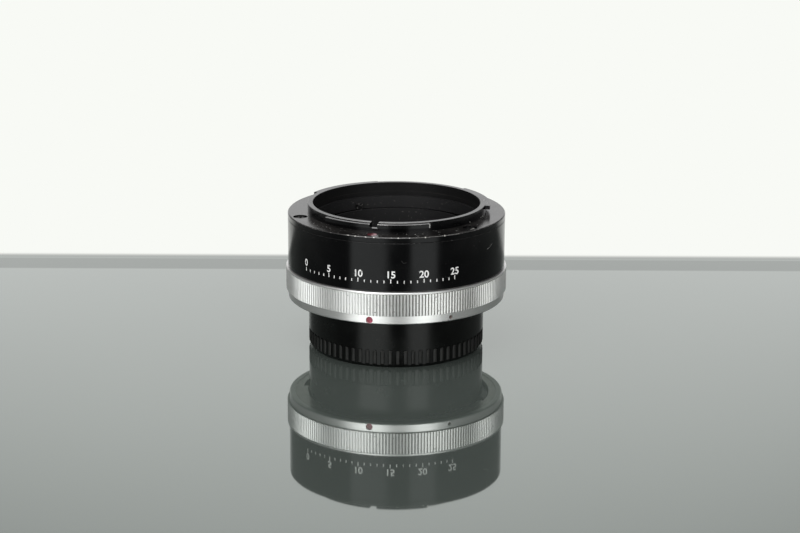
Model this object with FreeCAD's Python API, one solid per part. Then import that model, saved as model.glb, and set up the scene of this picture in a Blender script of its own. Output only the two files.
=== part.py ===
"""Breech-lock extension tube, 25 mm, standing on its rear cap.

Units are millimetres. +Z is the optical axis, towards the lens end. The origin is the middle of
the rear cap's underside. The index of the tube (its notch and its red dots) faces -Y, and every
angle in this file is counted from there, anticlockwise seen from the lens end.
"""
import FreeCAD
import Part

import os
from math import cos, degrees, pi, radians, sin, sqrt, tan

V = FreeCAD.Vector
UP = V(0, 0, 1)
OUTWARD = V(0, -1, 0)

# Clearances
run_gap = 0.1            # between faces that turn or slide on each other
turn_gap = 0.08          # radial gap of a shaft or ring that turns in a bore
seat_gap = 0.05          # radial gap of a piece fitted into another and fixed there
free_gap = 0.3           # between pieces that pass each other without touching
cut_margin = 1.0         # how far a cut runs past the faces that it opens
plane_tolerance = 0.01   # edges nearer to a plane than this lie in it

# The bayonet interface: the lens end has it, and the rear cap repeats it for the camera end
throat_radius = 24.0
collar_wall = 1.5
collar_height = 2.65
lug_reach = 1.4
lug_thickness = 1.1
lug_setback = 0.2        # from the collar's face down to the lugs
notch_width = 2.2
notch_depth = 1.7
lug_sectors = [(-34, 34), (95, 145), (206, 257.5)]
rim_chamfer = 0.08

# Lengths along the axis
cap_height = 17.1        # from the table to the seat face of the tube's rear mount
extension = 25.0         # from the seat face to the face of the front collar

# Front mount plate
flange_thickness = 1.65
flange_chamfer = 0.25
seam_chamfer = 0.12
spigot_wall = 0.8
spigot_length = 1.2
throat_lip_recess = 0.3  # how far the throat ring reaches up into the plate
flange_screw_inset = 2.8  # from the plate's edge in to the screws' axes
flange_screw_angles = [60, 180, 300]
screw_recess_radius = 2.05
screw_recess_depth = 0.35
front_dot_radius = 1.4
front_dot_inset = 2.9    # from the plate's edge in to the middle of the dot
dot_pocket_depth = 0.15
paint_thickness = 0.13

# Throat ring, the light trap below the front mount
throat_ring_step = 0.7   # how much narrower it is than the throat
throat_ring_length = 3.5
throat_lip_thickness = 1.0
throat_lip_reach = 0.8
throat_lip_drop = 1.2    # from the top of the barrel down to the lip

# Outer barrel
barrel_step = 0.05       # how far it stands proud of the breech ring's band
barrel_wall = 1.6
barrel_flange_depth = 3.3
web_thickness = 1.6
web_step = 0.1           # how much wider the web's bore is than the neck's

# Breech ring, the silver grip
ring_height = 9.3
ring_chamfer = 0.3
band_height = 2.4
groove_height = 0.2
groove_depth = 0.2
knurl_rise = 0.63        # from the band out to the tips of the knurl
knurl_depth = 0.26
knurl_count = 220
knurl_land = 0.3         # share of the pitch that is left flat at the tip of a rib
top_rim_height = 0.65
top_rim_chamfer = 0.18
ring_wall = 1.65
shoulder_thickness = 1.2
shoulder_reach = 1.22    # from the ring's bore in to the edge of its shoulder
index_radius = 0.95
index_depth = 0.45
index_height = 1.1       # from the ring's lower edge
ring_travel = 55         # degrees that the ring turns, clockwise seen from the lens end

# Locking lugs inside the breech ring
lock_lug_angles = [60, 180, 300]
lock_lug_half_angle = 22
lug_root_gap = 0.4       # from the mating lugs out to the wall of the lug ring
lug_ring_wall = 2.15
lug_tip_gap = 0.25       # from the mating collar out to the tips of the locking lugs
grub_radius = 0.5
grub_length = 2.1
grub_height = 1.2        # from the ring's lower edge
grub_sink = 0.45
grub_slot_width = 0.15
grub_slot_depth = 0.2
grub_angles = [43, 163, 283]

# Stops of the breech ring
stop_pin_radius = 0.5
stop_pin_angle = 30
stop_block_angle = 6
stop_block_height = 1.4
stop_block_root = 0.2    # how far a block reaches into the ring's wall
stop_slack = 0.5         # degrees left between pin and block

# Rear mount
seat_disc_thickness = 2.5
nose_gap = 0.4           # the nose is this much smaller than the throat that takes it
nose_wall = 1.0
nose_length = 4.0
neck_step = 0.5          # how much wider the neck's bore is than the throat
rear_screw_angles = [45, 135, 225, 315]
locating_pin_gap = 0.15  # between the pin and each side of the notch that it enters
locating_pin_press = 2.0
tip_rounding = 0.4       # rounding of a pin's tip, as a share of the pin's radius

# Lock plunger, a sprung pin in the rear mount
plunger_radius = 0.7
plunger_angle = 270
plunger_reach = 1.0      # how far its tip stands below the seat face, and so how far it moves
plunger_collar_radius = 1.15
plunger_collar_height = 0.7
plunger_guide_radius = 0.45
plunger_guide_length = 1.3
plunger_floor = 1.5      # from the seat face up to the floor of its spring chamber
plunger_spring_wire = 0.28
plunger_spring_turns = 5
plunger_spring_gap = 0.03  # from the spring's wire to the faces it bears on

# Baffle tube
lever_baffle_gap = 0.4   # from the rear levers in to the tube
baffle_wall = 0.7
baffle_flange = 0.8
baffle_drop = 2.8        # from the top of the barrel down to its upper edge
baffle_rise = 2.1        # from the seat face down to its lower edge

# Lever rings and the track that holds them
lever_ring_thickness = 1.0
lever_ring_step = 0.8    # how much narrower the lever rings' bore is than the throat
track_wall = 2.35
track_plate = 0.8
foot_gap = 0.2           # from the levers' feet out to the track's plates
track_screw_angles = [100, 220, 340]

# Levers
lever_foot_thickness = 0.6
lever_foot_reach = 1.8   # from the lever ring's bore out to the edge of a foot
lever_foot_half_angle = 8
lever_half_angle = 2.5
lever_thickness = 0.6
lever_throat_gap = 0.5   # from the throat ring in to the front levers
lever_nose_gap = 0.4     # from the nose in to the rear levers
front_lever_depth = 5.5  # from the front face down to the lever's tip
rear_lever_reach = 7.1   # from the seat face down to the lever's tip
rivet_inset = 0.9        # from the lever ring's bore out to the rivets' axes
rivet_radius = 0.45
rivet_head_radius = 0.75
rivet_head_height = 0.3
rivet_half_angle = 4.6
drive_front_angle = 84
drive_rear_angle = 130
drive_travel = 20
signal_front_angle = 223
signal_rear_angle = 262
signal_travel = 30
window_slack = 4         # degrees added at each end of a lever's window

# Return springs
post_radius = 0.5
post_height = 2.6
post_head_radius = 0.8
post_head_height = 0.4
peg_inset = 1.0          # from the lever ring's bore out to the peg's axis
peg_angle = 40
drive_post_angle = 358
signal_post_angle = 178
spring_coil_radius = 0.6
spring_wire = 0.24
spring_turns = 9
spring_coil_share = 0.5  # the coil's share of the distance from hook to hook
spring_drop = 1.04       # from the underside of a post's head down to the spring's middle
leg_thickening = 1.1     # the legs' diameter, in diameters of the wire
hook_gap = 0.12
gap_samples = 24         # points on each turn at which a coil's gap to itself is measured

# Screws
machine_screw_radius = 0.95
flange_head_radius = 1.85
flange_head_height = 0.9
flange_screw_length = 2.6
rear_head_radius = 1.55
rear_head_height = 0.9
rear_thread_engagement = 1.3
track_screw_radius = 0.6
track_head_radius = 1.0
track_head_height = 0.5
track_thread_engagement = 1.1
cross_width = 0.4
cross_depth = 0.35
cross_reach = 1.2        # length of a cross slot's bars, in radii of the head

# Rear cap
cap_wall = 1.4
cap_floor = 1.5
cap_chamfer_height = 1.3
cap_chamfer_width = 1.0
cap_dish_depth = 0.4
cap_dish_margin = 3.0
rib_count = 72
rib_width = 1.15
rib_crown_radius = 0.7   # rounding of a rib's face, seen along the axis
rib_band_height = 5.3
rib_band_depth = 0.4
rib_drop = 0.3           # from the band's upper edge down to the rib tops
rib_foot = 0.7

# Levels that follow from the lengths
seat_z = cap_height
front_z = seat_z + extension
flange_top_z = front_z - collar_height
barrel_top_z = flange_top_z - flange_thickness
ring_bottom_z = seat_z - collar_height + run_gap
ring_top_z = ring_bottom_z + ring_height
barrel_bottom_z = ring_top_z + run_gap
web_top_z = barrel_bottom_z + web_thickness
neck_top_z = barrel_bottom_z - baffle_flange
disc_top_z = seat_z + seat_disc_thickness
shoulder_z = disc_top_z + run_gap
lock_lug_top_z = seat_z - lug_setback - lug_thickness - run_gap
signal_z = web_top_z + run_gap
spacer_plate_z = signal_z + lever_ring_thickness + run_gap
drive_z = spacer_plate_z + track_plate + run_gap
retainer_plate_z = drive_z + lever_ring_thickness + run_gap
track_top_z = retainer_plate_z + track_plate
throat_top_z = barrel_top_z + throat_lip_recess
throat_lip_top_z = barrel_top_z - throat_lip_drop
spring_z = track_top_z + post_height - spring_drop
flange_screw_top_z = flange_top_z - screw_recess_depth
stop_pin_z = shoulder_z + shoulder_thickness + run_gap + stop_pin_radius
grub_z = ring_bottom_z + grub_height

# Radii that follow from the interface, from the throat outwards
collar_radius = throat_radius + collar_wall
lug_radius = collar_radius + lug_reach
lock_lug_tip = collar_radius + lug_tip_gap
lug_ring_inner = lug_radius + lug_root_gap
lug_ring_outer = lug_ring_inner + lug_ring_wall
ring_bore = lug_ring_outer + seat_gap
ring_radius = ring_bore + ring_wall
knurl_radius = ring_radius + knurl_rise
barrel_radius = ring_radius + barrel_step
barrel_bore = barrel_radius - barrel_wall
seat_disc_radius = ring_bore - turn_gap
shoulder_bore = ring_bore - shoulder_reach
neck_radius = shoulder_bore - turn_gap - run_gap
neck_inner_radius = throat_radius + neck_step
web_inner_radius = neck_inner_radius + web_step
throat_seat_radius = collar_radius + seat_gap
spigot_radius = throat_seat_radius + spigot_wall

# Radii inside the throat
throat_ring_bore = throat_radius - throat_ring_step
nose_radius = throat_radius - nose_gap
nose_bore = nose_radius - nose_wall
front_lever_outer = throat_ring_bore - lever_throat_gap
rear_lever_outer = nose_bore - lever_nose_gap
baffle_radius = rear_lever_outer - lever_thickness - lever_baffle_gap
lever_ring_inner = throat_radius - lever_ring_step
lever_foot_outer = lever_ring_inner + lever_foot_reach
track_plate_inner = lever_foot_outer + foot_gap
track_bore = barrel_bore - seat_gap - track_wall
cap_bore = nose_radius + free_gap
cap_radius = cap_bore + cap_wall

# Circles on which pins, screws and dots stand
locating_pin_radius = 0.5 * notch_width - locating_pin_gap
locating_pin_circle = throat_radius + 0.5 * collar_wall
neck_screw_circle = 0.5 * (neck_inner_radius + neck_radius)
flange_screw_circle = barrel_radius - flange_screw_inset
front_dot_circle = barrel_radius - front_dot_inset
track_rim_circle = 0.5 * (track_bore + barrel_bore)
rivet_circle = lever_ring_inner + rivet_inset
peg_circle = lever_ring_inner + peg_inset
grub_outer = ring_radius - grub_sink
grub_inner = grub_outer - grub_length


def at(radius, angle, z):
    """The point at this radius, angle from the index and height."""
    return V(radius * sin(radians(angle)), -radius * cos(radians(angle)), z)


def turned_to(shape, angle):
    """A copy of the shape, turned about the axis."""
    copy = shape.copy()
    copy.rotate(V(0, 0, 0), UP, angle)
    return copy


def turned(outline, start=0, sweep=360):
    """The (radius, z) outline revolved about the axis, from the start angle on."""
    corners = [V(0, -radius, z) for radius, z in outline]
    face = Part.Face(Part.makePolygon(corners + corners[:1]))
    return turned_to(face.revolve(V(0, 0, 0), UP, sweep), start)


def ring(inner, outer, low, high, start=0, sweep=360):
    """A flat ring, or a sector of one."""
    return turned([(inner, low), (outer, low), (outer, high), (inner, high)], start, sweep)


def upright(radius, low, high, circle, angle):
    """A cylinder parallel to the axis."""
    return Part.makeCylinder(radius, high - low, at(circle, angle, low), UP)


def radial(radius, inner, outer, angle, z):
    """A cylinder that points away from the axis."""
    return turned_to(Part.makeCylinder(radius, outer - inner, V(0, -inner, z), OUTWARD), angle)


def cross_recess(head_radius, top, circle, angle, direction):
    """The cross slot of a screw head whose face is at this height."""
    low = top - cross_depth if direction > 0 else top
    arm = cross_reach * head_radius
    bars = [Part.makeBox(arm, cross_width, cross_depth, V(-0.5 * arm, -0.5 * cross_width, 0)),
            Part.makeBox(cross_width, arm, cross_depth, V(-0.5 * cross_width, -0.5 * arm, 0))]
    slot = bars[0].fuse(bars[1])
    slot.translate(at(circle, angle, low))
    return slot


def screw(shank_radius, head_radius, head_height, length, top, circle, angle, direction=1):
    """A flat-headed screw; direction 1 has the head up, -1 has it down."""
    head_low = top - head_height if direction > 0 else top
    shank_low = top - head_height - length if direction > 0 else top + head_height
    body = upright(head_radius, head_low, head_low + head_height, circle, angle)
    body = body.fuse(upright(shank_radius, shank_low, shank_low + length, circle, angle))
    return body.cut(cross_recess(head_radius, top, circle, angle, direction))


def bayonet_lugs(face_z):
    """The three outward lugs below a collar's face."""
    top = face_z - lug_setback
    low = top - lug_thickness
    root = collar_radius - 0.5 * collar_wall
    outline = [(root, low), (lug_radius, low), (lug_radius, top - rim_chamfer),
               (lug_radius - rim_chamfer, top), (root, top)]
    return [turned(outline, start, end - start) for start, end in lug_sectors]


def index_notch(face_z, inner, outer):
    """The slot at the index that the mating mount's locating pin enters."""
    return Part.makeBox(notch_width, outer - inner, 2 * notch_depth,
                        V(-0.5 * notch_width, -outer, face_z - notch_depth))


def arc_from(start, tangent, end):
    """The arc that leaves the start point along the tangent and ends at the end point."""
    chord = end - start
    turn = tangent.getAngle(chord)
    middle = start + chord * 0.5
    apex = start + tangent * (0.5 * chord.Length / cos(turn))
    bulge = (apex - middle).normalize() * (0.5 * chord.Length * tan(0.5 * turn))
    return Part.Arc(start, middle + bulge, end).toShape()


def smooth_pair(start, start_tangent, end, end_tangent):
    """Two arcs that run smoothly from one point and tangent to another."""
    chord = end - start
    both = start_tangent + end_tangent
    square = 2 * (1 - start_tangent.dot(end_tangent))
    across = chord.dot(both)
    reach = (sqrt(across ** 2 + square * chord.dot(chord)) - across) / square
    joint = (start + end + (start_tangent - end_tangent) * reach) * 0.5
    joint_tangent = (end - end_tangent * reach - start - start_tangent * reach).normalize()
    return [arc_from(start, start_tangent, joint), arc_from(joint, joint_tangent, end)]


def least_gap(path, turns, wire):
    """The smallest clear distance from one turn of a coil to the next."""
    points = path.discretize(Number=gap_samples * turns + 1)
    apart = [points[i].distanceToPoint(points[j]) for i in range(len(points))
             for j in range(i + gap_samples // 2, len(points))]
    return min(apart) - wire


def coil(radius, wire, length, turns, start, direction):
    """A helical spring of round wire, its path made of smooth quarter turns."""
    rise = length / turns
    climb = rise / (2 * pi)
    points = []
    tangents = []
    for i in range(4 * turns + 1):
        angle = 0.5 * pi * i
        points.append(V(radius * cos(angle), radius * sin(angle), 0.25 * rise * i))
        tangents.append(V(-radius * sin(angle), radius * cos(angle), climb).normalize())
    arcs = []
    for i in range(4 * turns):
        arcs += smooth_pair(points[i], tangents[i], points[i + 1], tangents[i + 1])
    path = Part.Wire(arcs)
    print("coil of", turns, "turns, least gap", round(least_gap(path, turns, wire), 3))
    section = Part.Wire(Part.makeCircle(0.5 * wire, points[0], tangents[0]))
    spring = path.makePipeShell([section], True, False)
    spring.Placement = FreeCAD.Placement(start, FreeCAD.Rotation(UP, direction))
    return spring


def make_front_mount():
    """Plate, collar, lugs and spigot in one turned piece, with the index notch."""
    spigot_low = barrel_top_z - spigot_length
    outline = [
        (throat_radius, throat_top_z),
        (throat_radius, front_z - rim_chamfer),
        (throat_radius + rim_chamfer, front_z),
        (collar_radius - rim_chamfer, front_z),
        (collar_radius, front_z - rim_chamfer),
        (collar_radius, flange_top_z),
        (barrel_radius - flange_chamfer, flange_top_z),
        (barrel_radius, flange_top_z - flange_chamfer),
        (barrel_radius, barrel_top_z + seam_chamfer),
        (barrel_radius - seam_chamfer, barrel_top_z),
        (spigot_radius, barrel_top_z),
        (spigot_radius, spigot_low),
        (throat_seat_radius, spigot_low),
        (throat_seat_radius, throat_top_z),
    ]
    mount = turned(outline).multiFuse(bayonet_lugs(front_z))
    cuts = [index_notch(front_z, throat_radius - cut_margin, lug_radius + cut_margin)]
    recess_low = flange_screw_top_z - flange_head_height
    for angle in flange_screw_angles:
        cuts.append(upright(screw_recess_radius, recess_low, flange_top_z, flange_screw_circle, angle))
        cuts.append(upright(machine_screw_radius + seat_gap, barrel_top_z, recess_low,
                            flange_screw_circle, angle))
    cuts.append(upright(front_dot_radius + seat_gap, flange_top_z - dot_pocket_depth, flange_top_z,
                        front_dot_circle, 0))
    return mount.cut(cuts)


def make_front_mount_screws():
    return [screw(machine_screw_radius, flange_head_radius, flange_head_height, flange_screw_length,
                  flange_screw_top_z, flange_screw_circle, angle) for angle in flange_screw_angles]


def make_front_index_dot():
    low = flange_top_z - dot_pocket_depth
    return upright(front_dot_radius, low, low + paint_thickness, front_dot_circle, 0)


def make_throat_ring():
    """A narrower ring below the throat, held by its lip between spigot and barrel."""
    low = throat_top_z - throat_ring_length
    lip_outer = collar_radius + throat_lip_reach
    lip_low = throat_lip_top_z - throat_lip_thickness
    return turned([
        (throat_ring_bore, low),
        (collar_radius, low),
        (collar_radius, lip_low),
        (lip_outer, lip_low),
        (lip_outer, throat_lip_top_z),
        (collar_radius, throat_lip_top_z),
        (collar_radius, throat_top_z),
        (throat_ring_bore, throat_top_z),
    ])


def make_outer_barrel():
    """The tube's shell: top flange for the front mount, and a web that carries the lever track."""
    flange_bore = spigot_radius + seat_gap
    ledge_bore = throat_seat_radius
    ledge_z = throat_lip_top_z - throat_lip_thickness
    flange_low = barrel_top_z - barrel_flange_depth
    outline = [
        (web_inner_radius, barrel_bottom_z),
        (barrel_radius - seam_chamfer, barrel_bottom_z),
        (barrel_radius, barrel_bottom_z + seam_chamfer),
        (barrel_radius, barrel_top_z - seam_chamfer),
        (barrel_radius - seam_chamfer, barrel_top_z),
        (flange_bore, barrel_top_z),
        (flange_bore, ledge_z),
        (ledge_bore, ledge_z),
        (ledge_bore, flange_low),
        (barrel_bore, flange_low),
        (barrel_bore, web_top_z),
        (web_inner_radius, web_top_z),
    ]
    thread = machine_screw_radius + seat_gap
    flange_hole_low = flange_screw_top_z - flange_head_height - flange_screw_length - seat_gap
    holes = [upright(thread, flange_hole_low, barrel_top_z, flange_screw_circle, angle)
             for angle in flange_screw_angles]
    holes += [upright(thread, barrel_bottom_z, barrel_bottom_z + rear_thread_engagement + seat_gap,
                      neck_screw_circle, angle) for angle in rear_screw_angles]
    holes += [upright(track_screw_radius + seat_gap, web_top_z - track_thread_engagement - seat_gap,
                      web_top_z, track_rim_circle, angle) for angle in track_screw_angles]
    return turned(outline).cut(holes)


def make_baffle_tube():
    """The matt inner tube; its flange has windows for the two rear levers."""
    top = barrel_top_z - baffle_drop
    bottom = seat_z - baffle_rise
    bore = baffle_radius - baffle_wall
    tube = turned([
        (bore, bottom),
        (baffle_radius, bottom),
        (baffle_radius, neck_top_z),
        (neck_radius - seat_gap, neck_top_z),
        (neck_radius - seat_gap, barrel_bottom_z),
        (baffle_radius, barrel_bottom_z),
        (baffle_radius, top),
        (bore, top),
    ])
    cuts = [upright(machine_screw_radius + seat_gap, neck_top_z, barrel_bottom_z, neck_screw_circle,
                    angle) for angle in rear_screw_angles]
    margin = lever_half_angle + window_slack
    for angle, travel in ((drive_rear_angle, drive_travel), (signal_rear_angle, signal_travel)):
        cuts.append(ring(baffle_radius, rear_lever_outer + free_gap + run_gap, neck_top_z,
                         barrel_bottom_z, angle - margin, travel + 2 * margin))
    return tube.cut(cuts)


def make_track(plate_z, foot_z, screw_holes):
    """One storey of the lever track: a rim that stands on the one below, and a plate."""
    outer = barrel_bore - seat_gap
    storey = turned([
        (track_bore, foot_z),
        (outer, foot_z),
        (outer, plate_z + track_plate),
        (track_plate_inner, plate_z + track_plate),
        (track_plate_inner, plate_z),
        (track_bore, plate_z),
    ])
    return storey.cut(screw_holes)


def track_screw_holes():
    return [upright(track_screw_radius + seat_gap, web_top_z, track_top_z, track_rim_circle, angle)
            for angle in track_screw_angles]


def make_track_retainer():
    posts = [upright(post_radius + seat_gap, spacer_plate_z + track_plate, track_top_z, track_rim_circle,
                     angle) for angle in (drive_post_angle, signal_post_angle)]
    return make_track(retainer_plate_z, spacer_plate_z + track_plate, track_screw_holes() + posts)


def make_track_screws():
    length = track_top_z - web_top_z + track_thread_engagement
    return [screw(track_screw_radius, track_head_radius, track_head_height, length,
                  track_top_z + track_head_height, track_rim_circle, angle)
            for angle in track_screw_angles]


def make_spring_posts():
    """Two headed posts, pressed into the track retainer."""
    posts = []
    for angle in (drive_post_angle, signal_post_angle):
        top = track_top_z + post_height
        post = upright(post_radius, spacer_plate_z + track_plate, top, track_rim_circle, angle)
        posts.append(post.fuse(upright(post_head_radius, top, top + post_head_height, track_rim_circle,
                                       angle)))
    return posts


def make_rear_mount():
    """Seat disc, nose and neck in one turned piece."""
    nose_low = seat_z - nose_length
    outline = [
        (nose_bore, nose_low),
        (nose_radius - rim_chamfer, nose_low),
        (nose_radius, nose_low + rim_chamfer),
        (nose_radius, seat_z),
        (seat_disc_radius, seat_z),
        (seat_disc_radius, disc_top_z),
        (neck_radius, disc_top_z),
        (neck_radius, neck_top_z),
        (neck_inner_radius, neck_top_z),
        (neck_inner_radius, disc_top_z),
        (nose_bore, disc_top_z - 0.5 * seat_disc_thickness),
    ]
    thread = machine_screw_radius + seat_gap
    cuts = []
    for angle in rear_screw_angles:
        cuts.append(upright(thread, seat_z, neck_top_z, neck_screw_circle, angle))
        cuts.append(upright(rear_head_radius + seat_gap, seat_z, seat_z + rear_head_height + seat_gap,
                            neck_screw_circle, angle))
    cuts.append(upright(locating_pin_radius, nose_low, seat_z + locating_pin_press,
                        locating_pin_circle, 0))
    cuts.append(upright(plunger_radius + seat_gap, seat_z, disc_top_z, neck_screw_circle,
                        plunger_angle))
    cuts.append(upright(plunger_collar_radius + seat_gap, seat_z + plunger_floor, neck_top_z,
                        neck_screw_circle, plunger_angle))
    cuts.append(radial(stop_pin_radius, neck_inner_radius - cut_margin, neck_radius + cut_margin,
                       stop_pin_angle, stop_pin_z))
    return turned(outline).cut(cuts)


def make_rear_mount_screws():
    length = barrel_bottom_z + rear_thread_engagement - seat_z - rear_head_height - seat_gap
    return [screw(machine_screw_radius, rear_head_radius, rear_head_height, length,
                  seat_z + seat_gap, neck_screw_circle, angle, -1) for angle in rear_screw_angles]


def make_locating_pin():
    """The pin that enters the mating notch; its rounded tip stays clear of the locking lugs."""
    pin = upright(locating_pin_radius, lock_lug_top_z + run_gap, seat_z + locating_pin_press,
                  locating_pin_circle, 0)
    return pin.makeFillet(tip_rounding * locating_pin_radius, lowest_edges(pin))


def lowest_edges(shape):
    """The edges that lie in the shape's lowest plane."""
    low = shape.BoundBox.ZMin
    return [edge for edge in shape.Edges if edge.BoundBox.ZMax < low + plane_tolerance]


def make_stop_pin():
    """The pin that runs just above the breech ring's shoulder."""
    return radial(stop_pin_radius, neck_inner_radius, ring_bore - free_gap, stop_pin_angle,
                  stop_pin_z)


def make_lock_plunger():
    """A pin with a collar that stops it, and a guide for its spring."""
    floor_z = seat_z + plunger_floor
    collar_top = floor_z + plunger_collar_height
    pin = upright(plunger_radius, seat_z - plunger_reach, floor_z, neck_screw_circle, plunger_angle)
    pin = pin.makeFillet(tip_rounding * plunger_radius, lowest_edges(pin))
    collar = upright(plunger_collar_radius, floor_z, collar_top, neck_screw_circle, plunger_angle)
    guide = upright(plunger_guide_radius, collar_top, collar_top + plunger_guide_length,
                    neck_screw_circle, plunger_angle)
    return pin.multiFuse([collar, guide])


def make_plunger_spring():
    inset = 0.5 * plunger_spring_wire + plunger_spring_gap
    low = seat_z + plunger_floor + plunger_collar_height + inset
    high = neck_top_z - inset
    radius = plunger_collar_radius - inset
    return coil(radius, plunger_spring_wire, high - low, plunger_spring_turns,
                at(neck_screw_circle, plunger_angle, low), UP)


def knurl_outline():
    """The toothed outline of the straight knurl."""
    root = knurl_radius - knurl_depth
    pitch = 360.0 / knurl_count
    corners = []
    for i in range(knurl_count):
        middle = i * pitch
        corners.append(at(knurl_radius, middle - 0.5 * knurl_land * pitch, 0))
        corners.append(at(knurl_radius, middle + 0.5 * knurl_land * pitch, 0))
        corners.append(at(root, middle + 0.5 * pitch, 0))
    return Part.makePolygon(corners + corners[:1])


def make_knurl(low, high):
    """The knurled sleeve of the grip, hollow so that only its teeth meet the ring's body."""
    hole = Part.Wire(Part.makeCircle(ring_radius - 0.5 * ring_wall))
    section = Part.makeFace([knurl_outline(), hole], "Part::FaceMakerBullseye")
    sleeve = section.extrude(V(0, 0, high - low))
    sleeve.translate(V(0, 0, low))
    return sleeve


def make_breech_ring():
    """The silver grip ring: smooth band, groove, knurl and top rim, with a shoulder inside."""
    band_top = ring_bottom_z + band_height
    knurl_low = band_top + groove_height
    knurl_high = ring_top_z - top_rim_height
    core = ring_radius - groove_depth
    outline = [
        (ring_bore, ring_bottom_z),
        (ring_radius - ring_chamfer, ring_bottom_z),
        (ring_radius, ring_bottom_z + ring_chamfer),
        (ring_radius, band_top),
        (core, band_top),
        (core, knurl_high),
        (knurl_radius - top_rim_chamfer, knurl_high),
        (knurl_radius, knurl_high + top_rim_chamfer),
        (knurl_radius, ring_top_z - top_rim_chamfer),
        (knurl_radius - top_rim_chamfer, ring_top_z),
        (ring_bore, ring_top_z),
        (ring_bore, shoulder_z + shoulder_thickness),
        (shoulder_bore, shoulder_z + shoulder_thickness),
        (shoulder_bore, shoulder_z),
        (ring_bore, shoulder_z),
    ]
    body = turned(outline).fuse([make_knurl(knurl_low, knurl_high)] + stop_blocks())
    cuts = [radial(grub_radius + seat_gap, ring_bore - cut_margin, knurl_radius + cut_margin, angle,
                   grub_z) for angle in grub_angles]
    cuts.append(radial(index_radius + seat_gap, ring_radius - index_depth, knurl_radius + cut_margin,
                       0, ring_bottom_z + index_height))
    return body.cut(cuts)


def stop_blocks():
    """Two blocks on the shoulder that meet the stop pin at the ends of the ring's travel."""
    low = shoulder_z + 0.5 * shoulder_thickness
    high = shoulder_z + shoulder_thickness + stop_block_height
    reach = stop_slack + degrees(stop_pin_radius / shoulder_bore)
    starts = [stop_pin_angle - reach - stop_block_angle, stop_pin_angle + reach + ring_travel]
    return [ring(shoulder_bore, ring_bore + stop_block_root, low, high, start, stop_block_angle)
            for start in starts]


def make_breech_lug_ring():
    """The inner ring with the three locking lugs, fixed in the grip ring by grub screws."""
    top = seat_z - run_gap
    low = ring_bottom_z + run_gap
    body = ring(lug_ring_inner, lug_ring_outer, low, top)
    lugs = [ring(lock_lug_tip, lug_ring_inner + 0.5 * lug_ring_wall, low, lock_lug_top_z,
                 angle - lock_lug_half_angle, 2 * lock_lug_half_angle) for angle in lock_lug_angles]
    holes = [radial(grub_radius + seat_gap, grub_inner - seat_gap, lug_ring_outer + cut_margin, angle,
                    grub_z) for angle in grub_angles]
    return body.multiFuse(lugs).cut(holes)


def make_ring_grub_screws():
    """Headless screws with a slot across the outer end."""
    half_slot = grub_radius + cut_margin
    slot = Part.makeBox(grub_slot_width, grub_slot_depth, 2 * half_slot,
                        V(-0.5 * grub_slot_width, -grub_outer, grub_z - half_slot))
    return [radial(grub_radius, grub_inner, grub_outer, angle, grub_z).cut(turned_to(slot, angle))
            for angle in grub_angles]


def make_ring_index_dot():
    inner = ring_radius - index_depth
    return radial(index_radius, inner, inner + paint_thickness, 0, ring_bottom_z + index_height)


def rivet_shanks(low, high, angles):
    """Two shanks for each lever at these angles; they serve as rivets and as their holes."""
    return [upright(rivet_radius, low, high, rivet_circle, angle + side)
            for angle in angles for side in (-rivet_half_angle, rivet_half_angle)]


def make_lever_ring(low, angles):
    """A thin ring that turns in the track, drilled for its rivets."""
    high = low + lever_ring_thickness
    return ring(lever_ring_inner, track_bore - turn_gap, low, high).cut(
        rivet_shanks(low, high, angles))


def make_lever(ring_z, angle, blade_outer, tip_z):
    """A riveted foot with a blade at its inner edge that runs up or down to the tip."""
    foot_z = ring_z + lever_ring_thickness
    foot_top_z = foot_z + lever_foot_thickness
    inner = blade_outer - lever_thickness
    foot = ring(inner, lever_foot_outer, foot_z, foot_top_z, angle - lever_foot_half_angle,
                2 * lever_foot_half_angle)
    blade = ring(inner, blade_outer, min(tip_z, foot_z), max(tip_z, foot_top_z),
                 angle - lever_half_angle, 2 * lever_half_angle)
    return foot.fuse(blade).cut(rivet_shanks(foot_z, foot_top_z, [angle]))


def make_front_lever(ring_z, angle):
    return make_lever(ring_z, angle, front_lever_outer, front_z - front_lever_depth)


def make_rear_lever(ring_z, angle):
    return make_lever(ring_z, angle, rear_lever_outer, seat_z - rear_lever_reach)


def make_rivets(ring_z, angles):
    head_z = ring_z + lever_ring_thickness + lever_foot_thickness
    rivets = []
    for shank in rivet_shanks(ring_z, head_z, angles):
        middle = shank.CenterOfMass
        head = Part.makeCylinder(rivet_head_radius, rivet_head_height, V(middle.x, middle.y, head_z))
        rivets.append(shank.fuse(head))
    return rivets


def make_drive_ring():
    """The upper lever ring, with the peg that its return spring hooks over."""
    peg_low = drive_z + 0.5 * lever_ring_thickness
    peg = upright(post_radius, peg_low, track_top_z + post_height, peg_circle, peg_angle)
    return make_lever_ring(drive_z, (drive_front_angle, drive_rear_angle)).fuse(peg)


def make_return_spring(start, end, start_radius, end_radius):
    """A tension coil between two uprights, with a straight leg at each end."""
    along = end - start
    distance = along.Length
    along.normalize()
    coil_length = spring_coil_share * distance
    coil_start = start + along * (0.5 * (distance - coil_length))
    spring = coil(spring_coil_radius, spring_wire, coil_length, spring_turns, coil_start, along)
    side = FreeCAD.Rotation(UP, along).multVec(V(spring_coil_radius, 0, 0))
    overlap = 0.5 * spring_wire
    leg_a = start + along * (start_radius + hook_gap)
    leg_b = coil_start + along * (coil_length - overlap)
    length_a = (coil_start - leg_a).Length + overlap
    length_b = (end - leg_b).Length - end_radius - hook_gap
    leg_radius = 0.5 * leg_thickening * spring_wire
    legs = [Part.makeCylinder(leg_radius, length_a, leg_a + side, along),
            Part.makeCylinder(leg_radius, length_b, leg_b + side, along)]
    return spring.multiFuse(legs)


def make_drive_return_spring():
    return make_return_spring(at(peg_circle, peg_angle, spring_z),
                              at(track_rim_circle, drive_post_angle, spring_z), post_radius, post_radius)


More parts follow.
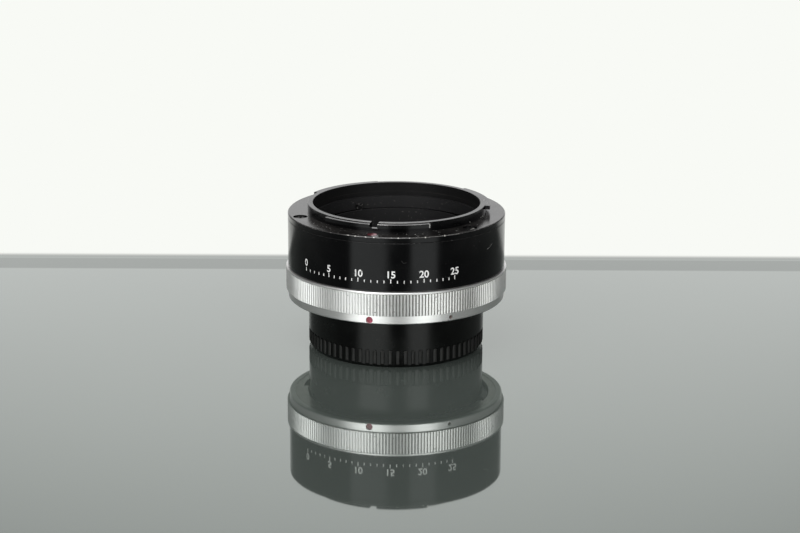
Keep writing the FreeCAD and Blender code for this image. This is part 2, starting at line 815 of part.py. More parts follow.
def make_signal_return_spring():
    blade = front_lever_outer - 0.5 * lever_thickness
    return make_return_spring(at(blade, signal_front_angle, spring_z),
                              at(track_rim_circle, signal_post_angle, spring_z),
                              front_lever_outer * sin(radians(lever_half_angle)), post_radius)


def make_cap_rib():
    """One grip rib, with a crowned face and a round upper end, running down onto the chamfer."""
    half = 0.5 * rib_width
    top = rib_band_height - rib_drop
    shoulder = top - half
    inner = cap_radius - rib_band_depth - cap_chamfer_width
    left, right = V(-half, -inner, rib_foot), V(half, -inner, rib_foot)
    upper_left, upper_right = V(-half, -inner, shoulder), V(half, -inner, shoulder)
    arch = Part.Arc(upper_right, V(0, -inner, top), upper_left).toShape()
    edges = [Part.makeLine(left, right), Part.makeLine(right, upper_right), arch,
             Part.makeLine(upper_left, left)]
    rib = Part.Face(Part.Wire(edges)).extrude(V(0, inner - cap_radius, 0))
    crown = Part.makeCylinder(rib_crown_radius, rib_band_height,
                              V(0, rib_crown_radius - cap_radius, 0))
    return rib.common(crown)


def make_rear_cap():
    """A deep cap with a ribbed foot; its rim repeats the bayonet lugs and the index notch."""
    groove_radius = cap_radius - rib_band_depth
    chamfer_slope = cap_chamfer_height / cap_chamfer_width
    base_radius = cap_radius - cap_chamfer_width
    outline = [
        (0, cap_dish_depth),
        (base_radius - cap_dish_margin - cap_dish_depth, cap_dish_depth),
        (base_radius - cap_dish_margin, 0),
        (base_radius, 0),
        (groove_radius, (groove_radius - base_radius) * chamfer_slope),
        (groove_radius, rib_band_height),
        (cap_radius, rib_band_height),
        (cap_radius, seat_z),
        (cap_bore, seat_z),
        (cap_bore, cap_dish_depth + cap_floor),
        (0, cap_dish_depth + cap_floor),
    ]
    envelope = turned([(0, 0), (base_radius, 0), (cap_radius, cap_chamfer_height),
                       (cap_radius, rib_band_height), (0, rib_band_height)])
    rib = make_cap_rib().common(envelope)
    ribs = [turned_to(rib, i * 360.0 / rib_count) for i in range(rib_count)]
    cap = turned(outline).multiFuse(ribs + cap_lugs())
    return cap.cut(index_notch(seat_z, cap_bore - cut_margin, lug_radius + cut_margin))


def cap_lugs():
    """The lugs of the cap's rim; their roots reach into its thinner wall."""
    top = seat_z - lug_setback
    root = cap_radius - 0.5 * cap_wall
    return [ring(root, lug_radius, top - lug_thickness, top, start, end - start)
            for start, end in lug_sectors]


SUBPARTS = {
    "front_mount": make_front_mount,
    "front_mount_screws": make_front_mount_screws,
    "front_index_dot": make_front_index_dot,
    "throat_ring": make_throat_ring,
    "outer_barrel": make_outer_barrel,
    "baffle_tube": make_baffle_tube,
    "track_spacer": lambda: make_track(spacer_plate_z, web_top_z, track_screw_holes()),
    "track_retainer": make_track_retainer,
    "track_screws": make_track_screws,
    "spring_posts": make_spring_posts,
    "rear_mount": make_rear_mount,
    "rear_mount_screws": make_rear_mount_screws,
    "locating_pin": make_locating_pin,
    "ring_stop_pin": make_stop_pin,
    "lock_plunger": make_lock_plunger,
    "plunger_spring": make_plunger_spring,
    "breech_ring": make_breech_ring,
    "breech_lug_ring": make_breech_lug_ring,
    "ring_grub_screws": make_ring_grub_screws,
    "ring_index_dot": make_ring_index_dot,
    "drive_ring": make_drive_ring,
    "drive_front_lever": lambda: make_front_lever(drive_z, drive_front_angle),
    "drive_rear_lever": lambda: make_rear_lever(drive_z, drive_rear_angle),
    "drive_rivets": lambda: make_rivets(drive_z, (drive_front_angle, drive_rear_angle)),
    "drive_return_spring": make_drive_return_spring,
    "signal_ring": lambda: make_lever_ring(signal_z, (signal_front_angle, signal_rear_angle)),
    "signal_front_lever": lambda: make_front_lever(signal_z, signal_front_angle),
    "signal_rear_lever": lambda: make_rear_lever(signal_z, signal_rear_angle),
    "signal_rivets": lambda: make_rivets(signal_z, (signal_front_angle, signal_rear_angle)),
    "signal_return_spring": make_signal_return_spring,
    "rear_cap": make_rear_cap,
}


def main():
    os.makedirs("parts", exist_ok=True)
    for name, make in SUBPARTS.items():
        made = make()
        shape = Part.makeCompound(made) if isinstance(made, list) else made
        shape.exportStep("parts/" + name + ".step")
        print(name, "solids", len(shape.Solids), "valid", shape.isValid(), "volume",
              round(shape.Volume, 1))


main()
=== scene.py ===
"""Looks of the extension tube: camera, stage, light, materials and the scale on the barrel.

Everything is in metres, in the model's own frame: +Z is the optical axis and the index faces -Y.
Angles are counted from the index, anticlockwise seen from the lens end.
"""

from math import cos, pi, radians, sin

import bmesh
import bpy
from mathutils import Matrix, Vector


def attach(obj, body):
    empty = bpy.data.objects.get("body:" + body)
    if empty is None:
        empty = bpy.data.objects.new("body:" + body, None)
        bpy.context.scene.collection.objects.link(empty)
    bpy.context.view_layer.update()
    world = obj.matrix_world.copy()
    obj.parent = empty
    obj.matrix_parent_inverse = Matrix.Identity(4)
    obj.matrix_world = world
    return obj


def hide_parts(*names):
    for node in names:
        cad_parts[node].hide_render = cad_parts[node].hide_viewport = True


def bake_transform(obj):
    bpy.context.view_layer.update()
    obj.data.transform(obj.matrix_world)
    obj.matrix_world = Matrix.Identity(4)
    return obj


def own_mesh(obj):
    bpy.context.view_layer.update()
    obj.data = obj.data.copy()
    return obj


MM = 0.001

# The photograph's view
view_turn = 13.75          # degrees from the index to the camera
view_rise = radians(15.31)
view_distance = 608.4 * MM
view_target = 24.96 * MM
view_pan = 0.00185         # radians
view_tilt = -0.0036
view_roll = 0.00475
lens_length = 94.7         # in mm, as is the sensor's width
sensor_width = 36.0
near_limit = 10 * MM       # nothing nearer to the camera shows

# Sizes of the turned pieces, for wear along their edges
flange_radius = 31.2 * MM
flange_top = 39.45 * MM
collar_radius = 25.5 * MM
collar_top = 42.1 * MM
lug_radius = 26.9 * MM
lug_top = 41.9 * MM
lug_bottom = 40.8 * MM
front_lug = (-34.0, 34.0)  # degrees
throat_radius = 24.0 * MM
barrel_top = 37.8 * MM
barrel_bottom = 23.95 * MM
knurl_root = 31.52 * MM
knurl_tip = 31.78 * MM
knurl_low = 17.15 * MM
knurl_high = 23.2 * MM
rib_top = 5.0 * MM
rib_root = 24.95 * MM
cap_radius = 25.3 * MM

# The scale on the barrel
scale_radius = 31.2 * MM
scale_lift = 0.02 * MM
scale_base = 26.5 * MM     # lower ends of the ticks
scale_start = -40.0        # degrees
scale_step = 3.4           # degrees from tick to tick
scale_end = 25             # the number of the last tick
number_step = 5            # ticks from number to number
number_height = 2.0 * MM
font_size = 1.38 * number_height           # the size at which this font's digits have that height
font_swell = 0.03 * number_height          # makes its strokes bolder
number_rise = 1.5 * MM     # from the scale's base up to the numbers
tick_width = 0.27 * MM
tick_height = 0.75 * MM
long_tick_height = 1.15 * MM

# Marks, each as degrees, then radius, height and size in mm
edge_nicks = [(39.0, 31.1, 39.35, 0.26), (28.6, 31.1, 39.35, 0.26), (14.7, 31.1, 39.35, 0.24),
              (-7.6, 31.1, 39.35, 0.26), (-11.6, 31.1, 39.35, 0.20)]
lug_nicks = [(108.3, 25.35, 42.05, 0.34), (102.0, 26.0, 41.9, 0.24)]
collar_nicks = [(83.7, 25.5, 39.7, 0.22), (87.6, 25.5, 39.6, 0.26), (67.7, 25.5, 39.9, 0.18)]
plate_nicks = [(19.7, 27.5, 39.45, 0.18), (24.5, 27.8, 39.45, 0.22), (28.9, 27.8, 39.45, 0.18)]
screw_burrs = [(57.6, 28.5, 39.1, 0.40), (59.6, 28.9, 39.1, 0.46), (62.0, 28.7, 39.1, 0.40)]
mark_core = 0.5            # the share of a mark's size that shows in full
line_core = 0.3            # the same for worn edges and scratches

# Scratches on the barrel: from and to, in degrees and mm of height, and how strongly they show
scratches = [((16.4, 32.9), (17.4, 32.2), 0.05), ((17.4, 32.2), (18.8, 32.4), 0.05),
             ((68.2, 32.9), (70.5, 33.1), 0.5), ((71.2, 33.3), (73.1, 33.8), 0.5)]
scratch_width = 0.1 * MM

# Springs, with their ends in mm
return_springs = {         # the moving body, the end on the fixed post and the end that moves
    "drive_return_spring": ("aperture_drive", (-0.4, -28.0, 31.1), (15.2, -19.0, 31.1)),
    "signal_return_spring": ("aperture_signal", (0.8, 27.8, 31.1), (-14.3, 16.7, 31.1)),
}

# Light, with angles in degrees and turns counted from the camera
front_level = 0.19
back_level = 1.15
back_start = 0.80          # cosines of the angle to the view, between which the world brightens
back_full = 0.95
panels = [(-29.0, 39.0), (29.5, 28.0)]     # middle and width of the light panels
panel_rise = 20.0
panel_height = 34.0
panel_soft = 2.5           # half of the margin over which their edges fade
panel_strength = 3.8
lamp_turn = -35.0
lamp_rise = 68.0
lamp_distance = 1.2
lamp_side = 0.8
lamp_strength = 3.0        # its brightness against white
backdrop = (0.94, 0.955, 0.915)            # the white behind the object, as the camera sees it

# The floor, with a grey sheet in its middle
floor_half = 4.0
sheet_back = 90 * MM       # from the axis back and forward
sheet_front = 230 * MM
sheet_side = 200 * MM
sheet_fade = 8 * MM        # how soon it turns white outside its edges
sheet_rim = 11 * MM        # the width of a darker stripe along its back edge
rim_fade = 2 * MM
rim_share = 0.22

# Colours that several materials share
bare_metal = (0.62, 0.61, 0.59)
torn_metal = (0.55, 0.54, 0.50)
enamel = (0.0015, 0.0015, 0.0018)
dust = (0.16, 0.15, 0.14)
dark_tones = ((0.03, 0.03, 0.031), (0.07, 0.07, 0.07))

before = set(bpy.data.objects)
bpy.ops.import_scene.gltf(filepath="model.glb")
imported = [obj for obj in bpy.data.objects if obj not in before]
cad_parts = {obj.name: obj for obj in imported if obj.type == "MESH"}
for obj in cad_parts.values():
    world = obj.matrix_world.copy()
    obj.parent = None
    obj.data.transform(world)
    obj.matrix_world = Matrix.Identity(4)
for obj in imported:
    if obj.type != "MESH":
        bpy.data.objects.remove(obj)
bpy.context.view_layer.update()


class Nodes:
    """The node tree of a material or a world, and short ways to add nodes to it."""

    def __init__(self, tree, coordinates):
        self.nodes = tree.nodes
        self.links = tree.links
        self.place = self.nodes.new("ShaderNodeTexCoord").outputs[coordinates]
        split = self.nodes.new("ShaderNodeSeparateXYZ")
        self.links.new(self.place, split.inputs[0])
        self.x, self.y, self.z = split.outputs
        self.radius = self.length(self.x, self.y)
        self.angle = self.math("ARCTAN2", self.x, self.times(self.y, -1))

    def feed(self, socket, value):
        """Gives a socket a value or another node's output."""
        if isinstance(value, bpy.types.NodeSocket):
            self.links.new(value, socket)
        else:
            socket.default_value = value

    def math(self, operation, *values):
        node = self.nodes.new("ShaderNodeMath")
        node.operation = operation
        for socket, value in zip(node.inputs, values):
            self.feed(socket, value)
        return node.outputs[0]

    def plus(self, first, second):
        return self.math("ADD", first, second)

    def minus(self, first, second):
        return self.math("SUBTRACT", first, second)

    def times(self, *values):
        product = values[0]
        for value in values[1:]:
            product = self.math("MULTIPLY", product, value)
        return product

    def most(self, *values):
        """The largest of the values."""
        largest = values[0]
        for value in values[1:]:
            largest = self.math("MAXIMUM", largest, value)
        return largest

    def length(self, across, up):
        """The long side of the right triangle with these two sides."""
        return self.math("SQRT", self.plus(self.times(across, across), self.times(up, up)))

    def smooth(self, value, start, end):
        """Rises smoothly from 0 at the start value to 1 at the end value."""
        node = self.nodes.new("ShaderNodeMapRange")
        node.interpolation_type = "SMOOTHSTEP"
        for name, number in (("Value", value), ("From Min", start), ("From Max", end)):
            self.feed(node.inputs[name], number)
        return node.outputs["Result"]

    def between(self, value, low, high, soft):
        """1 from the low to the high value, falling to 0 over a soft margin."""
        return self.times(self.smooth(value, low - soft, low), self.smooth(value, high + soft, high))

    def spread(self, fine, turned=None):
        """Noise from 0 to 1; fine is its scale, and turned stretches it round the axis."""
        node = self.nodes.new("ShaderNodeTexNoise")
        node.inputs["Scale"].default_value = 1.0
        node.inputs["Detail"].default_value = 3.0
        vector = self.nodes.new("ShaderNodeCombineXYZ")
        height = self.plus(self.z, self.radius) if turned else self.z
        for socket, value, scale in zip(vector.inputs, (self.x, self.y, height),
                                        (fine, fine, turned or fine)):
            self.feed(socket, self.times(value, scale))
        self.links.new(vector.outputs[0], node.inputs["Vector"])
        return node.outputs["Fac"]

    def blend(self, share, first, second):
        """A colour that goes from the first to the second."""
        node = self.nodes.new("ShaderNodeMix")
        node.data_type = "RGBA"
        self.feed(node.inputs["Factor"], share)
        for socket, colour in zip([s for s in node.inputs if s.type == "RGBA"], (first, second)):
            self.feed(socket, colour if isinstance(colour, bpy.types.NodeSocket) else (*colour, 1))
        return next(s for s in node.outputs if s.type == "RGBA")

    def number(self, share, first, second):
        """A number that goes from the first to the second."""
        node = self.nodes.new("ShaderNodeMix")
        self.feed(node.inputs["Factor"], share)
        self.feed(node.inputs["A"], first)
        self.feed(node.inputs["B"], second)
        return node.outputs["Result"]


class Shader(Nodes):
    """A material with one Principled shader."""

    def __init__(self, name, metallic=0.0, ior=1.5):
        self.material = bpy.data.materials.new(name)
        self.material.use_nodes = True
        super().__init__(self.material.node_tree, "Object")
        self.shader = self.nodes["Principled BSDF"]
        self.set("Metallic", metallic)
        self.set("IOR", ior)

    def set(self, socket, value):
        """Sets an input of the shader to a number, a colour or another node's output."""
        self.feed(self.shader.inputs[socket], value)

    def edge(self, radius, height, width):
        """1 on the circle of this radius and height, falling to 0 at the width from it."""
        away = self.length(self.minus(self.radius, radius), self.minus(self.z, height))
        return self.smooth(away, width, line_core * width)

    def sector(self, start, end, soft=4.0):
        """1 between two angles in degrees, falling to 0 over a soft margin."""
        return self.between(self.angle, radians(start), radians(end), radians(soft))

    def nick(self, angle, radius, height, size):
        """1 at a point given in degrees and mm, falling to 0 at the size from it."""
        node = self.nodes.new("ShaderNodeVectorMath")
        node.operation = "DISTANCE"
        self.feed(node.inputs[0], self.place)
        turn = radians(angle)
        node.inputs[1].default_value = Vector((radius * sin(turn), -radius * cos(turn), height)) * MM
        return self.smooth(node.outputs["Value"], size * MM, mark_core * size * MM)

    def nicks(self, places):
        """1 at each of these places, falling to 0 at its size from it."""
        return self.most(*[self.nick(*place) for place in places])

    def scratch(self, radius, start, end, width):
        """1 along a line on the cylinder, from one (angle, height) to another, in degrees and mm."""
        first = Vector((radians(start[0]) * radius, start[1] * MM))
        run = Vector((radians(end[0]) * radius, end[1] * MM)) - first
        across = self.minus(self.times(self.angle, radius), first.x)
        up = self.minus(self.z, first.y)
        share = self.plus(self.times(across, run.x / run.length_squared),
                          self.times(up, run.y / run.length_squared))
        share = self.math("MINIMUM", self.most(share, 0.0), 1.0)
        away = self.length(self.minus(across, self.times(share, run.x)),
                           self.minus(up, self.times(share, run.y)))
        return self.smooth(away, width, line_core * width)

    def bump(self, height, strength, distance):
        """Makes the surface look uneven, by a height from 0 to 1 that stands for the distance."""
        node = self.nodes.new("ShaderNodeBump")
        node.inputs["Strength"].default_value = strength
        node.inputs["Distance"].default_value = distance
        self.feed(node.inputs["Height"], height)
        self.set("Normal", node.outputs["Normal"])


def enamel_shader(name, wear, dust_share):
    """Gloss black enamel that shows bare metal where it is worn, with specks and hairlines."""
    s = Shader(name)
    s.set("Specular Tint", (0.40, 0.40, 0.41, 1))
    specks = s.times(s.smooth(s.spread(2600), 0.71, 0.75), dust_share)
    haze = s.smooth(s.spread(90), 0.35, 0.75)
    hairlines = s.smooth(s.spread(60, turned=9000), 0.66, 0.74)
    worn = wear(s)
    colour = s.blend(s.times(haze, 0.25), enamel, (0.005, 0.005, 0.005))
    inside = s.smooth(s.radius, throat_radius + 0.2 * MM, throat_radius)
    colour = s.blend(inside, colour, (0.007, 0.007, 0.007))
    film = s.times(s.between(s.z, flange_top - 0.05 * MM, flange_top + 0.05 * MM, 0.05 * MM),
                   s.number(haze, 0.04, 0.2))
    colour = s.blend(s.most(specks, film), colour, dust)
    nicked = s.nicks(edge_nicks + lug_nicks + collar_nicks + plate_nicks)
    s.set("Base Color", s.blend(nicked, s.blend(worn, colour, bare_metal), torn_metal))
    s.set("Metallic", s.number(nicked, worn, 0.0))
    roughness = s.number(haze, 0.14, 0.24)
    roughness = s.number(s.times(hairlines, 0.4), roughness, 0.4)
    roughness = s.number(inside, roughness, 0.42)
    s.set("Roughness", s.number(s.most(worn, nicked), roughness, 0.38))
    s.bump(s.plus(s.spread(60, turned=6000), s.times(worn, -1.5)), 0.10, 0.02 * MM)
    return s.material


def mount_wear(s):
    """Worn rims and lugs, whose edge lines are partly a painted highlight, brightest over the front
    lug, and the chipped front edge of the plate.
    """
    chips = s.smooth(s.spread(1500), 0.56, 0.62)
    fine = s.smooth(s.spread(260), 0.42, 0.60)
    front = s.sector(*front_lug)
    # The collar's and the lug's top edges: wear with a painted highlight, brightest over the front
    # lug.
    rim = s.times(s.edge(collar_radius - 0.08 * MM, collar_top, 0.09 * MM),
                  s.number(front, 0.08, 0.6))
    lug = s.times(s.edge(lug_radius - 0.06 * MM, lug_top, 0.10 * MM),
                  s.number(front, 0.15, 0.8), s.number(fine, 0.35, 1.0))
    end = front_lug[1]
    margin = 0.1 * MM
    lug_end = s.times(s.sector(end - 0.5, end + 0.3, 0.3),
                      s.between(s.radius, collar_radius + margin, lug_radius + margin, margin),
                      s.between(s.z, lug_bottom, lug_top + margin, margin), 0.5)
    plate = s.times(s.edge(flange_radius - 0.12 * MM, flange_top - 0.12 * MM, 0.16 * MM),
                    s.number(chips, 0.22, 1.0), s.number(s.sector(-12, 45), 0.3, 1.0))
    on_top = s.between(s.z, flange_top - 0.02 * MM, flange_top + 0.02 * MM, 0.02 * MM)
    rub = s.times(on_top, s.smooth(s.spread(1100), 0.66, 0.70), s.sector(-45, 75), 0.4)
    return s.most(rim, lug, lug_end, plate, rub)


def barrel_wear(s):
    """A few chips and faint scratches, a thin rubbed line at the lower end, and at the upper end
    chips along a faint line of painted highlight.
    """
    chips = s.smooth(s.spread(1300), 0.60, 0.66)
    # The upper end: chips along a faint continuous line, which is a painted highlight.
    top = s.times(s.edge(flange_radius, barrel_top, 0.12 * MM), s.number(chips, 0.12, 0.7))
    bottom = s.times(s.edge(flange_radius, barrel_bottom, 0.2 * MM), 0.35)
    marks = [s.times(s.scratch(flange_radius, start, end, scratch_width), share)
             for start, end, share in scratches]
    return s.most(top, bottom, *marks)


def aluminium_shader():
    """Satin aluminium with lathe marks, bright knurl tips, and dirt and painted shade between them,
    darker towards the roots and most between 15 and 75 degrees.
    """
    s = Shader("ring_aluminium", metallic=1.0)
    lathe = s.spread(40, turned=9000)
    cloud = s.smooth(s.spread(120), 0.3, 0.7)
    in_knurl = s.between(s.z, knurl_low, knurl_high, 0.05 * MM)
    depth = s.smooth(s.radius, knurl_tip - 0.05 * MM, knurl_root + 0.04 * MM)
    # Dirt and painted shade in the knurl's grooves: darker towards their roots, and stronger between
    # 15 and 75 degrees.
    grime_and_shade = s.times(in_knurl, depth, s.number(s.sector(15, 75, 15), 0.25, 0.8))
    spots = s.times(in_knurl, s.smooth(s.spread(1500), 0.66, 0.70), s.sector(-10, 90, 10), 0.6)
    colour = s.blend(cloud, (0.87, 0.87, 0.865), (0.94, 0.94, 0.93))
    colour = s.blend(s.most(grime_and_shade, spots), colour, (0.10, 0.09, 0.08))
    s.set("Base Color", colour)
    s.set("Roughness", s.number(lathe, 0.32, 0.45))
    s.bump(lathe, 0.10, 0.02 * MM)
    return s.material


def plastic_shader():
    """Moulded black plastic, dusty, rougher on the ribs, which a painted highlight makes lighter."""
    s = Shader("cap_plastic")
    s.set("Specular Tint", (0.5, 0.5, 0.5, 1))
    on_rib = s.times(s.smooth(s.radius, rib_root + 0.1 * MM, cap_radius - 0.1 * MM),
                     s.smooth(s.z, rib_top + 0.1 * MM, rib_top - 0.1 * MM))
    grain = s.spread(2500)
    cloud = s.smooth(s.spread(150), 0.3, 0.7)
    specks = s.smooth(s.spread(2200), 0.70, 0.75)
    colour = s.blend(cloud, (0.001, 0.001, 0.001), (0.0025, 0.003, 0.0027))
    # Painted highlight: the ribs are made lighter than the rest of the cap.
    colour = s.blend(s.times(on_rib, s.number(cloud, 0.5, 0.9)), colour, (0.022, 0.022, 0.021))
    s.set("Base Color", s.blend(s.times(specks, 0.4), colour, dust))
    s.set("Roughness", s.number(on_rib, s.number(cloud, 0.20, 0.28), 0.32))
    s.bump(grain, 0.08, 0.02 * MM)
    return s.material


def matt_black_shader():
    """Flat anti-reflection black inside the tube, with turning marks and a little dust."""
    s = Shader("matt_black", ior=1.4)
    lathe = s.spread(40, turned=7000)
    dusty = s.smooth(s.spread(1600), 0.66, 0.72)
    colour = s.blend(lathe, (0.006, 0.006, 0.006), (0.014, 0.014, 0.015))
    s.set("Base Color", s.blend(s.times(dusty, 0.45), colour, dust))
    s.set("Roughness", s.number(lathe, 0.45, 0.68))
    s.bump(lathe, 0.2, 0.03 * MM)
    return s.material


def metal_shader(name, dark, light, smoothest, roughest, chipped=0.0, marks=()):
    """A machined metal: two tones in clouds, and turning marks; chips and marks show bare metal."""
    s = Shader(name, metallic=1.0)
    lathe = s.spread(50, turned=7000)
    colour = s.blend(s.smooth(s.spread(300), 0.3, 0.7), dark, light)
    if chipped:
        colour = s.blend(s.times(s.smooth(s.spread(1400), 0.54, 0.60), chipped), colour, bare_metal)
    if marks:
        torn = s.nicks(marks)
        colour = s.blend(torn, colour, torn_metal)
        s.set("Metallic", s.number(torn, 1.0, 0.0))
    s.set("Base Color", colour)
    s.set("Roughness", s.number(lathe, smoothest, roughest))
    s.bump(lathe, 0.12, 0.02 * MM)
    return s.material


def front_dot_shader():
    """Old red paint, faded to pink, with a painted highlight that makes patches on its right half
    pale.
    """
    s = Shader("faded_red")
    patches = s.spread(900)
    right = s.smooth(s.x, -0.2 * MM, 0.5 * MM)
    # Painted highlight: pale patches on the dot's right half.
    pale = s.times(right, s.smooth(patches, 0.35, 0.55))
    gone = s.times(s.smooth(s.x, 0.1 * MM, -0.9 * MM), s.smooth(patches, 0.40, 0.60), 0.9)
    colour = s.blend(pale, (0.13, 0.012, 0.02), (0.52, 0.33, 0.36))
    s.set("Base Color", s.blend(gone, colour, enamel))
    s.set("Roughness", s.number(patches, 0.3, 0.6))
    return s.material


def ring_dot_shader():
    """Deep red enamel, with a painted highlight as a paler patch right of its middle."""
    s = Shader("ring_red")
    patches = s.spread(1200)
    colour = s.blend(patches, (0.16, 0.004, 0.018), (0.30, 0.010, 0.04))
    # Painted highlight: a paler patch right of the dot's middle.
    paler = s.times(s.smooth(s.x, -0.1 * MM, 0.35 * MM), s.smooth(patches, 0.3, 0.6))
    s.set("Base Color", s.blend(paler, colour, (0.48, 0.05, 0.13)))
    s.set("Roughness", s.number(patches, 0.22, 0.4))
    s.set("Coat Weight", 0.4)
    return s.material


def paint_shader():
    """The white filling of the scale, with a few gaps where it has flaked away."""
    s = Shader("scale_white")
    flaked = s.smooth(s.spread(1300), 0.66, 0.70)
    colour = s.blend(s.smooth(s.spread(400), 0.35, 0.65), (0.84, 0.84, 0.82), (0.93, 0.93, 0.92))
    s.set("Base Color", s.blend(flaked, colour, (0.25, 0.25, 0.25)))
    s.set("Roughness", 0.5)
    return s.material


def floor_shader():
    """A pale gloss floor that turns white behind the object, to the camera and in reflections."""
    s = Shader("pale_floor", ior=1.6)
    s.set("Base Color", s.blend(s.smooth(s.spread(3), 0.3, 0.7), (0.085, 0.095, 0.090),
                                (0.098, 0.110, 0.104)))
    s.set("Roughness", 0.03)
    s.set("Specular Tint", (0.86, 1.0, 0.90, 1))
    s.set("Coat Weight", 0.8)
    s.set("Coat Roughness", 0.02)
    s.set("Coat Tint", (0.95, 1.0, 0.96, 1))
    back = view_back()
    depth = s.plus(s.times(s.x, back.x), s.times(s.y, back.y))
    rim = s.times(s.between(depth, sheet_back - sheet_rim, sheet_back, rim_fade), rim_share)
    depth = s.math("ABSOLUTE", s.plus(depth, 0.5 * (sheet_front - sheet_back)))
    aside = s.math("ABSOLUTE", s.minus(s.times(s.x, back.y), s.times(s.y, back.x)))
    along = s.most(s.minus(depth, 0.5 * (sheet_front + sheet_back)), 0.0)
    across = s.most(s.minus(aside, sheet_side), 0.0)
    white = s.smooth(s.length(across, along), 0.0, sheet_fade)
    seen = s.nodes.new("ShaderNodeLightPath").outputs
    share = s.times(s.most(white, rim), s.most(seen["Is Camera Ray"], seen["Is Glossy Ray"],
                                               seen["Is Transmission Ray"]))
    glow = s.nodes.new("ShaderNodeEmission")
    s.feed(glow.inputs["Strength"], white)
    glow.inputs["Color"].default_value = (*backdrop, 1)
    mix = s.nodes.new("ShaderNodeMixShader")
    s.links.new(share, mix.inputs[0])
    s.links.new(s.shader.outputs[0], mix.inputs[1])
    s.links.new(glow.outputs[0], mix.inputs[2])
    s.links.new(mix.outputs[0], s.nodes["Material Output"].inputs["Surface"])
    return s.material


def dress(nodes, material):
    """Gives CAD nodes their material."""
    for node in nodes:
        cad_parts[node].material_slots[0].material = material


def dress_nodes():
    """Gives every CAD node its material."""
    dress(["front_mount"], enamel_shader("mount_enamel", mount_wear, 0.5))
    dress(["outer_barrel"], enamel_shader("barrel_enamel", barrel_wear, 0.25))
    dress(["breech_ring"], aluminium_shader())
    dress(["rear_cap"], plastic_shader())
    dress(["throat_ring", "baffle_tube", "track_spacer", "track_retainer"], matt_black_shader())
    dress(["front_index_dot"], front_dot_shader())
    dress(["ring_index_dot"], ring_dot_shader())
    dress(["rear_mount", "breech_lug_ring"],
          metal_shader("plated_brass", (0.56, 0.55, 0.53), (0.66, 0.65, 0.63), 0.22, 0.38))
    dress(["drive_ring", "signal_ring"],
          metal_shader("machined_brass", (0.55, 0.42, 0.20), (0.68, 0.55, 0.30), 0.25, 0.4))
    dress(["ring_grub_screws"],
          metal_shader("stained_steel", (0.06, 0.045, 0.04), (0.22, 0.18, 0.16), 0.35, 0.5))
    dress(["front_mount_screws"],
          metal_shader("dark_steel", *dark_tones, 0.3, 0.45, marks=screw_burrs))
    dress(["drive_front_lever", "signal_front_lever"],
          metal_shader("chipped_steel", *dark_tones, 0.3, 0.45, chipped=0.9))
    dress(["track_screws", "rear_mount_screws", "locating_pin", "ring_stop_pin", "lock_plunger",
           "spring_posts", "drive_rear_lever", "signal_rear_lever", "drive_rivets", "signal_rivets"],
          metal_shader("bright_steel", (0.50, 0.50, 0.51), (0.62, 0.62, 0.63), 0.22, 0.36))
    dress(["drive_return_spring", "signal_return_spring", "plunger_spring"],
          metal_shader("spring_steel", (0.34, 0.34, 0.36), (0.46, 0.46, 0.48), 0.25, 0.4))


def soft_copy(node):
    """A piece that stands for a CAD spring, with its shape and material."""
    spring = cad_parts[node]
    made = bpy.data.objects.new(node + "_coil", spring.data.copy())
    made.matrix_world = spring.matrix_world
    bpy.context.scene.collection.objects.link(made)
    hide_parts(node)
    return made


def make_springs():
    """Copies of the springs: the plunger's spring goes with the tube's body, and the return springs
    keep their place.
    """
    coil = soft_copy("plunger_spring")
    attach(coil, "tube_body")
    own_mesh(coil)
    for node, (body, fixed, moving) in return_springs.items():
        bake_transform(soft_copy(node))


def mesh_object(name, shape, material):
    """An object made from a bmesh."""
    mesh = bpy.data.meshes.new(name)
    shape.to_mesh(mesh)
    shape.free()
    mesh.materials.append(material)
    made = bpy.data.objects.new(name, mesh)
    bpy.context.scene.collection.objects.link(made)
    return made


def wrap(shape, angle):
    """Lays a flat bmesh, x across and y up, on the barrel about this angle."""
    for vertex in shape.verts:
        turn = radians(angle) + vertex.co.x / scale_radius
        out = scale_radius + scale_lift
        vertex.co = Vector((out * sin(turn), -out * cos(turn), scale_base + vertex.co.y))


def scale_number(text, angle, material):
    """A plain number, standing on the scale at this angle."""
    curve = bpy.data.curves.new("scale_text", "FONT")
    curve.body = text
    curve.size = font_size
    curve.align_x = "CENTER"
    curve.offset = font_swell
    holder = bpy.data.objects.new("scale_text", curve)
    bpy.context.scene.collection.objects.link(holder)
    bpy.context.view_layer.update()
    flat = holder.evaluated_get(bpy.context.evaluated_depsgraph_get()).to_mesh()
    shape = bmesh.new()
    shape.from_mesh(flat)
    bpy.data.objects.remove(holder)
    bpy.data.curves.remove(curve)
    for vertex in shape.verts:
        vertex.co.y += number_rise
    wrap(shape, angle)
    return mesh_object("scale_number_" + text, shape, material)


def scale_ticks(material):
    """The short lines of the scale, longer below the numbers, as one piece."""
    shape = bmesh.new()
    for i in range(scale_end + 1):
        height = tick_height if i % number_step else long_tick_height
        tick = bmesh.new()
        corners = [(-0.5, 0), (0.5, 0), (0.5, 1), (-0.5, 1)]
        tick.faces.new([tick.verts.new((x * tick_width, y * height, 0)) for x, y in corners])
        wrap(tick, scale_start + i * scale_step)
        flat = bpy.data.meshes.new("tick")
        tick.to_mesh(flat)
        tick.free()
        shape.from_mesh(flat)
        bpy.data.meshes.remove(flat)
    return mesh_object("scale_ticks", shape, material)


def make_scale():
    """A plain scale in white paint, where the real tube has its lettering."""
    material = paint_shader()
    pieces = [scale_number(str(i), scale_start + i * scale_step, material)
              for i in range(0, scale_end + 1, number_step)]
    for piece in pieces + [scale_ticks(material)]:
        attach(piece, "tube_body")


def turned_frame():
    """The turn from the photograph's own axes to the model's."""
    return Matrix.Rotation(radians(view_turn), 3, "Z")


def view_back():
    """The level direction away from the camera."""
    return turned_frame() @ Vector((0, 1, 0))


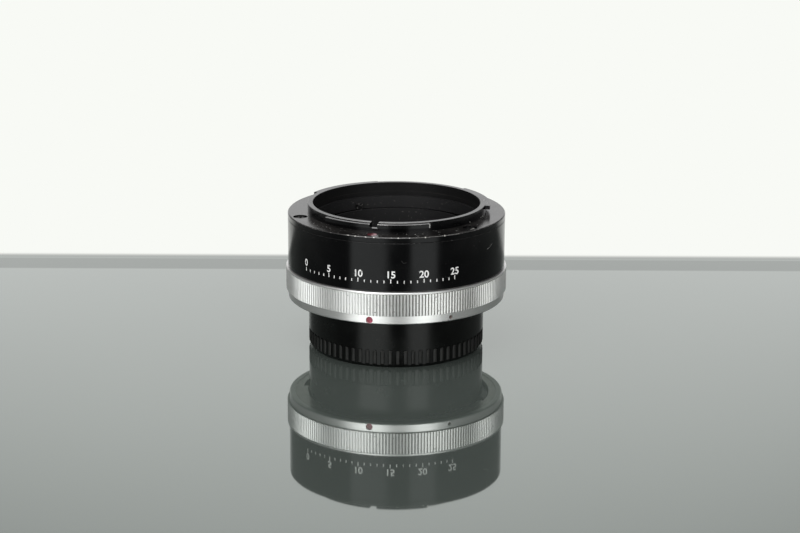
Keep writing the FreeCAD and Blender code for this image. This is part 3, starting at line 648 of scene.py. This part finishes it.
def make_camera():
    """The photograph's camera, aimed at a point on the axis and then panned, tilted and rolled."""
    rise = -view_rise + view_tilt
    forward = Vector((sin(view_pan) * cos(rise), cos(view_pan) * cos(rise), sin(rise)))
    level = forward.cross(Vector((0, 0, 1))).normalized()
    upward = level.cross(forward)
    right = cos(view_roll) * level + sin(view_roll) * upward
    top = cos(view_roll) * upward - sin(view_roll) * level
    place = Vector((0, -cos(view_rise), sin(view_rise))) * view_distance
    place.z += view_target
    axes = turned_frame() @ Matrix((right, top, -forward)).transposed()
    camera = bpy.data.cameras.new("camera")
    camera.lens = lens_length
    camera.sensor_width = sensor_width
    camera.clip_start = near_limit
    holder = bpy.data.objects.new("camera", camera)
    holder.matrix_world = Matrix.Translation(turned_frame() @ place) @ axes.to_4x4()
    bpy.context.scene.collection.objects.link(holder)
    bpy.context.scene.camera = holder


def make_lamp():
    """A square soft box above, which faces the object."""
    lamp = bpy.data.lights.new("top_box", "AREA")
    lamp.shape = "SQUARE"
    lamp.size = lamp_side
    lamp.energy = lamp_strength * pi * lamp_side ** 2
    holder = bpy.data.objects.new("top_box", lamp)
    turn = radians(lamp_turn)
    rise = radians(lamp_rise)
    out = turned_frame() @ Vector((sin(turn) * cos(rise), -cos(turn) * cos(rise), sin(rise)))
    holder.location = out * lamp_distance + Vector((0, 0, view_target))
    holder.rotation_mode = "QUATERNION"
    holder.rotation_quaternion = out.to_track_quat("Z", "Y")
    holder.visible_camera = False
    bpy.context.scene.collection.objects.link(holder)


def panel_band(w, angle, middle, width):
    """1 where the angle lies within a light panel, falling to 0 over its soft edges."""
    off = w.math("ABSOLUTE", w.minus(angle, radians(middle)))
    return w.smooth(off, radians(0.5 * width + panel_soft), radians(0.5 * width - panel_soft))


def make_world():
    """A dark studio with a bright background and two soft light panels in front."""
    world = bpy.data.worlds.new("studio")
    world.use_nodes = True
    w = Nodes(world.node_tree, "Generated")
    along = w.nodes.new("ShaderNodeVectorMath")
    along.operation = "DOT_PRODUCT"
    along.inputs[1].default_value = view_back()
    w.links.new(w.place, along.inputs[0])
    level = w.number(w.smooth(along.outputs["Value"], back_start, back_full), front_level, back_level)
    rise = w.math("ARCSINE", w.z)
    for middle, width in panels:
        shape = w.times(panel_band(w, w.angle, view_turn + middle, width),
                        panel_band(w, rise, panel_rise, panel_height))
        level = w.plus(level, w.times(shape, panel_strength))
    seen = w.nodes.new("ShaderNodeLightPath").outputs["Is Camera Ray"]
    w.feed(w.nodes["Background"].inputs["Strength"], w.number(seen, level, 1.0))
    w.feed(w.nodes["Background"].inputs["Color"], w.blend(seen, (1, 1, 1), backdrop))
    bpy.context.scene.world = world


def make_floor():
    """The floor, which isn't part of the object."""
    shape = bmesh.new()
    bmesh.ops.create_grid(shape, x_segments=1, y_segments=1, size=floor_half)
    mesh_object("floor", shape, floor_shader())


make_camera()
make_lamp()
make_world()
make_floor()
dress_nodes()
make_springs()
make_scale()
bpy.context.scene.view_settings.view_transform = "Standard"

bpy.context.view_layer.update()
